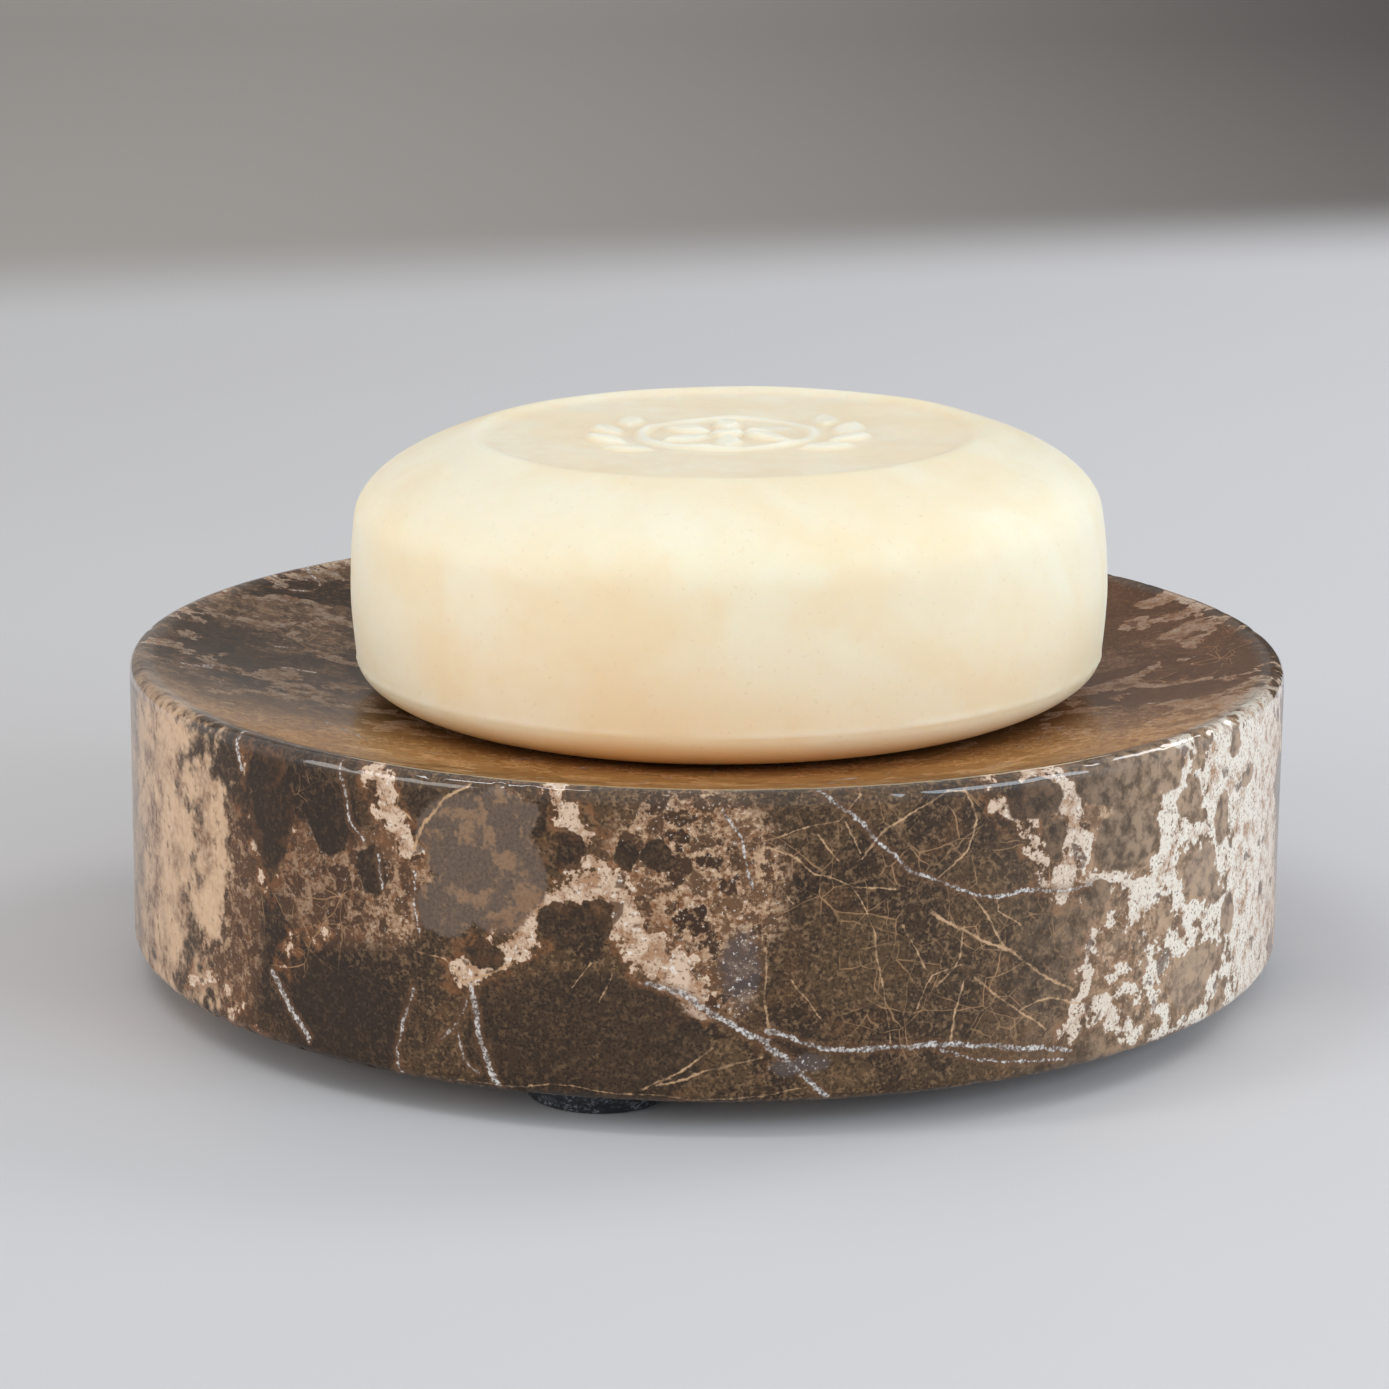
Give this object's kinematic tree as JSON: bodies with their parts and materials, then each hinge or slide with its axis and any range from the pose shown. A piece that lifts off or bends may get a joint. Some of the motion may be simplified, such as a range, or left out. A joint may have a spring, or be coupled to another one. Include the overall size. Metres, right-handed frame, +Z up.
{
  "type": "shaving soap puck with dish",
  "caption": "Round shaving soap puck with a sunk panel and raised ornament on top, resting loose in a shallow polished stone dish on rubber feet.",
  "frame": {"origin": "centre of the dish, on the surface that its feet stand on", "axes": "+Z up; -Y towards the front, where the first foot shows under the edge; +X to the right as seen from the front"},
  "size_m": [0.115, 0.115, 0.0546],
  "materials": {
    "stone": "polished",
    "soap": "satin",
    "rubber": "matte",
    "adhesive": "matte"
  },
  "bodies": {
    "dish": {"stone_dish": "stone", "rubber_foot_1": "rubber", "rubber_foot_2": "rubber", "rubber_foot_3": "rubber", "rubber_foot_4": "rubber", "adhesive_pad_1": "adhesive", "adhesive_pad_2": "adhesive", "adhesive_pad_3": "adhesive", "adhesive_pad_4": "adhesive"},
    "puck": {"soap_puck": "soap"}
  },
  "joints": [
    {"name": "puck_lift", "type": "slide", "parent": "dish", "child": "puck", "axis": [0, 0, 1], "range_m": [0, 0.06]}
  ]
}
